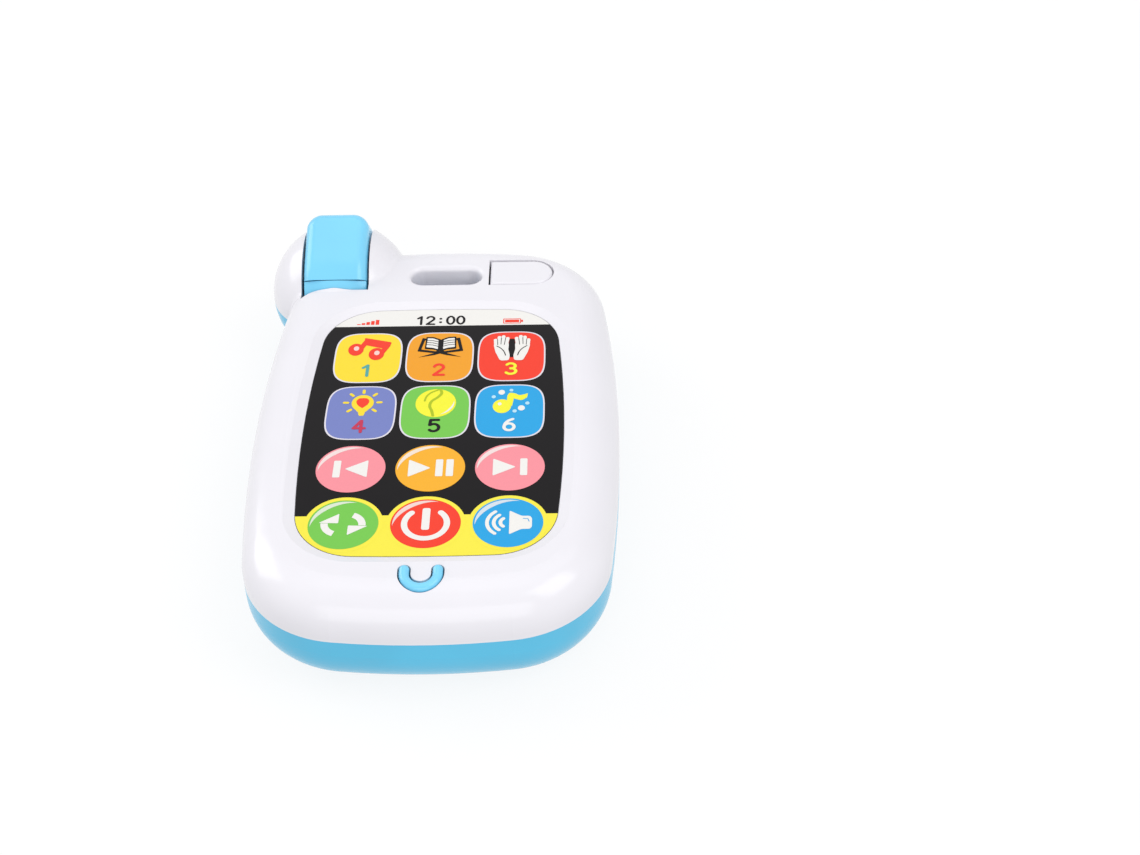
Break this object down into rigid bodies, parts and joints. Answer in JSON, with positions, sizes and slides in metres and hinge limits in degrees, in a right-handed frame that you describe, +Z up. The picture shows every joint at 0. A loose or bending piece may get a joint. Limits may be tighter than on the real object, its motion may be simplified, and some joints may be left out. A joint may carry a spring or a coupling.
{
  "type": "toy cell phone",
  "caption": "Toddler's toy phone with rounded two-part shell, printed key screen, press buttons, strap slot and a tilting picture projector in a round ear.",
  "frame": {"origin": "centre of the body's outline on the plane that the phone's back rests on", "axes": "+Z up out of the face, +Y to the end with the ear and strap slot, +X to the right"},
  "size_m": [0.0976, 0.1577, 0.041],
  "materials": {
    "white_shell": "glossy moulded ABS",
    "blue_shell": "glossy moulded ABS",
    "blue_head": "glossy moulded ABS",
    "blue_button": "glossy moulded ABS",
    "screen_print": "printed glossy film",
    "key_plastic": "moulded",
    "silicone": "translucent silicone rubber",
    "board": "solder mask on fibreglass board",
    "black_plastic": "moulded",
    "clear_lens": "clear acrylic",
    "film": "slide film",
    "reflector": "bright",
    "lamp": "clear epoxy lamp",
    "foam": "foam",
    "steel": "zinc plated",
    "paper_cone": "coated paper",
    "cell_jacket": "shrink-wrapped steel can",
    "contact_metal": "nickel plated"
  },
  "bodies": {
    "housing": {"front_shell": "white_shell", "back_shell": "blue_shell", "screen_overlay": "screen_print", "keypad_mat": "silicone", "main_board": "board", "board_chips": "black_plastic", "smile_switch": "silicone", "projector_switch": "silicone", "speaker_gasket": "foam", "speaker_frame": "steel", "speaker_cone": "paper_cone", "speaker_magnet": "steel", "battery_cell_1": "cell_jacket", "battery_cell_2": "cell_jacket", "battery_cell_3": "cell_jacket", "battery_springs": "contact_metal", "battery_plates": "contact_metal", "housing_screws": "steel", "board_screws": "steel"},
    "projector_head": {"head_front": "blue_head", "head_back": "blue_head", "trunnion_left": "blue_shell", "trunnion_right": "blue_shell", "lens": "clear_lens", "lens_barrel": "black_plastic", "film_slide": "film", "led_reflector": "reflector", "led": "lamp"},
    "smile": {"smile_button": "blue_button"},
    "projector_key": {"projector_button": "white_shell"},
    "battery_cover": {"battery_door": "blue_shell", "battery_door_screw": "steel"},
    "key_melody": {"key_melody": "key_plastic"},
    "key_story": {"key_story": "key_plastic"},
    "key_hands": {"key_hands": "key_plastic"},
    "key_light": {"key_light": "key_plastic"},
    "key_nature": {"key_nature": "key_plastic"},
    "key_nursery": {"key_nursery": "key_plastic"},
    "key_previous": {"key_previous": "key_plastic"},
    "key_play": {"key_play": "key_plastic"},
    "key_next": {"key_next": "key_plastic"},
    "key_repeat": {"key_repeat": "key_plastic"},
    "key_power": {"key_power": "key_plastic"},
    "key_volume": {"key_volume": "key_plastic"}
  },
  "joints": [
    {"name": "head_tilt", "type": "hinge", "parent": "housing", "child": "projector_head", "pos_m": [-0.0308, 0.0652, 0.0186], "axis": [1, 0, 0], "range_deg": [-45, 30]},
    {"name": "smile_press", "type": "slide", "parent": "housing", "child": "smile", "axis": [0, 0.1392, -0.9903], "range_m": [0, 0.0008], "stiffness_N_per_m": 1500},
    {"name": "projector_press", "type": "slide", "parent": "housing", "child": "projector_key", "axis": [0, 0, -1], "range_m": [0, 0.0008], "stiffness_N_per_m": 1500},
    {"name": "cover_lift", "type": "slide", "parent": "housing", "child": "battery_cover", "axis": [0, 0, -1], "range_m": [0, 0.025]},
    {"name": "key_melody_press", "type": "slide", "parent": "housing", "child": "key_melody", "axis": [0, 0, -1], "range_m": [0, 0.0005], "stiffness_N_per_m": 1500},
    {"name": "key_story_press", "type": "slide", "parent": "housing", "child": "key_story", "axis": [0, 0, -1], "range_m": [0, 0.0005], "stiffness_N_per_m": 1500},
    {"name": "key_hands_press", "type": "slide", "parent": "housing", "child": "key_hands", "axis": [0, 0, -1], "range_m": [0, 0.0005], "stiffness_N_per_m": 1500},
    {"name": "key_light_press", "type": "slide", "parent": "housing", "child": "key_light", "axis": [0, 0, -1], "range_m": [0, 0.0005], "stiffness_N_per_m": 1500},
    {"name": "key_nature_press", "type": "slide", "parent": "housing", "child": "key_nature", "axis": [0, 0, -1], "range_m": [0, 0.0005], "stiffness_N_per_m": 1500},
    {"name": "key_nursery_press", "type": "slide", "parent": "housing", "child": "key_nursery", "axis": [0, 0, -1], "range_m": [0, 0.0005], "stiffness_N_per_m": 1500},
    {"name": "key_previous_press", "type": "slide", "parent": "housing", "child": "key_previous", "axis": [0, 0, -1], "range_m": [0, 0.0005], "stiffness_N_per_m": 1500},
    {"name": "key_play_press", "type": "slide", "parent": "housing", "child": "key_play", "axis": [0, 0, -1], "range_m": [0, 0.0005], "stiffness_N_per_m": 1500},
    {"name": "key_next_press", "type": "slide", "parent": "housing", "child": "key_next", "axis": [0, 0, -1], "range_m": [0, 0.0005], "stiffness_N_per_m": 1500},
    {"name": "key_repeat_press", "type": "slide", "parent": "housing", "child": "key_repeat", "axis": [0, 0, -1], "range_m": [0, 0.0005], "stiffness_N_per_m": 1500},
    {"name": "key_power_press", "type": "slide", "parent": "housing", "child": "key_power", "axis": [0, 0, -1], "range_m": [0, 0.0005], "stiffness_N_per_m": 1500},
    {"name": "key_volume_press", "type": "slide", "parent": "housing", "child": "key_volume", "axis": [0, 0, -1], "range_m": [0, 0.0005], "stiffness_N_per_m": 1500}
  ]
}
